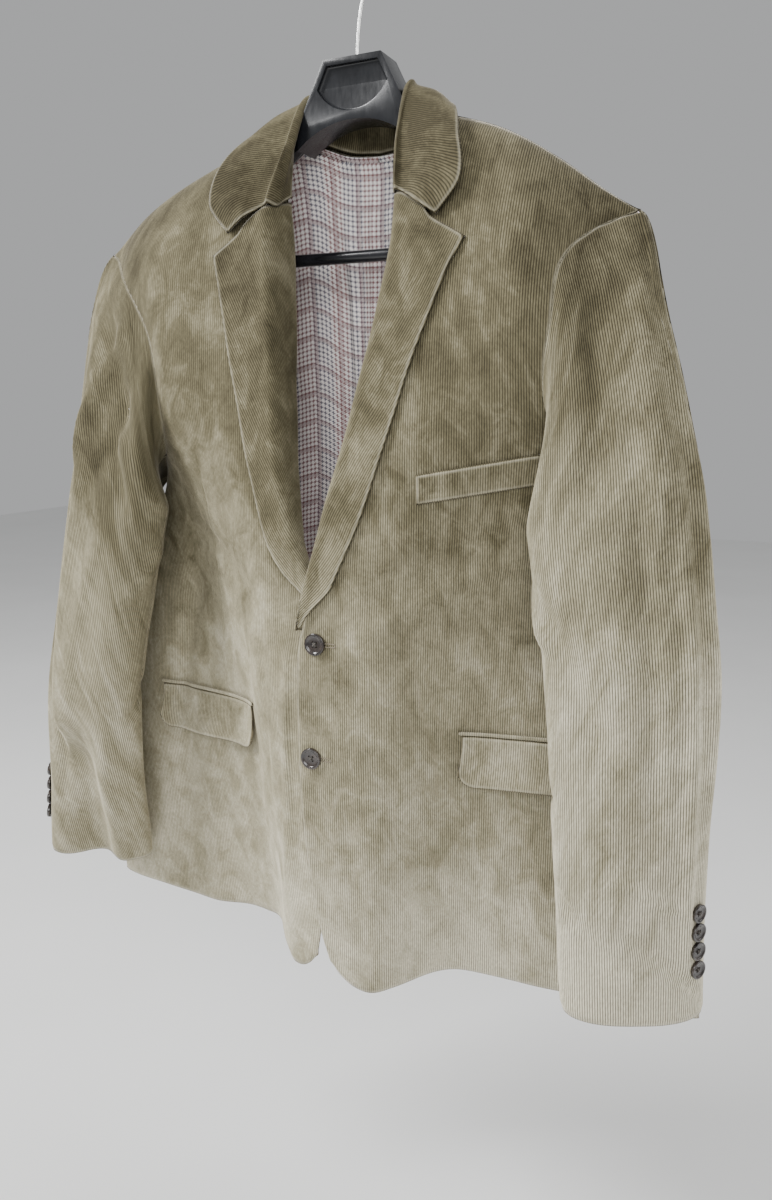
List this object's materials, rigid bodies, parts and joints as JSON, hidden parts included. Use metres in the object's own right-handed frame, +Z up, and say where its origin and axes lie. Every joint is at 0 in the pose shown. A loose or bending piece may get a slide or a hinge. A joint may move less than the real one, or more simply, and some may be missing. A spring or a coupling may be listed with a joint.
{
  "type": "corduroy jacket on a hanger",
  "caption": "Notched-lapel corduroy jacket with flap pockets and a checked lining, hanging buttoned on a moulded plastic suit hanger with a wire hook.",
  "frame": {"origin": "inside top of the hanger's hook, where a rail or peg bears", "axes": "+Z up, the front of the jacket faces -Y, and the wearer's left is at +X"},
  "size_m": [0.7246, 0.18, 0.9554],
  "materials": {
    "corduroy": "ribbed cotton corduroy with a soft, blotchy nap",
    "lining": "smooth lining cloth with a small dark check",
    "button": "polished dark horn-look plastic",
    "hanger": "satin black moulded plastic",
    "hook": "plated steel wire"
  },
  "bodies": {
    "root": {"front_left": "corduroy", "back_left": "corduroy", "lapel_left": "corduroy", "pocket_flap_left": "corduroy", "pocket_jet_left": "corduroy", "top_sleeve_left": "corduroy", "under_sleeve_left": "corduroy", "cuff_button_left_1": "button", "cuff_button_left_2": "button", "cuff_button_left_3": "button", "cuff_button_left_4": "button", "front_right": "corduroy", "back_right": "corduroy", "lapel_right": "corduroy", "pocket_flap_right": "corduroy", "pocket_jet_right": "corduroy", "top_sleeve_right": "corduroy", "under_sleeve_right": "corduroy", "cuff_button_right_1": "button", "cuff_button_right_2": "button", "cuff_button_right_3": "button", "cuff_button_right_4": "button", "collar": "corduroy", "breast_welt": "corduroy", "back_lining": "lining", "front_button_1": "button", "front_button_2": "button", "hanger_frame": "hanger", "trouser_bar": "hanger", "hook": "hook"}
  },
  "joints": []
}
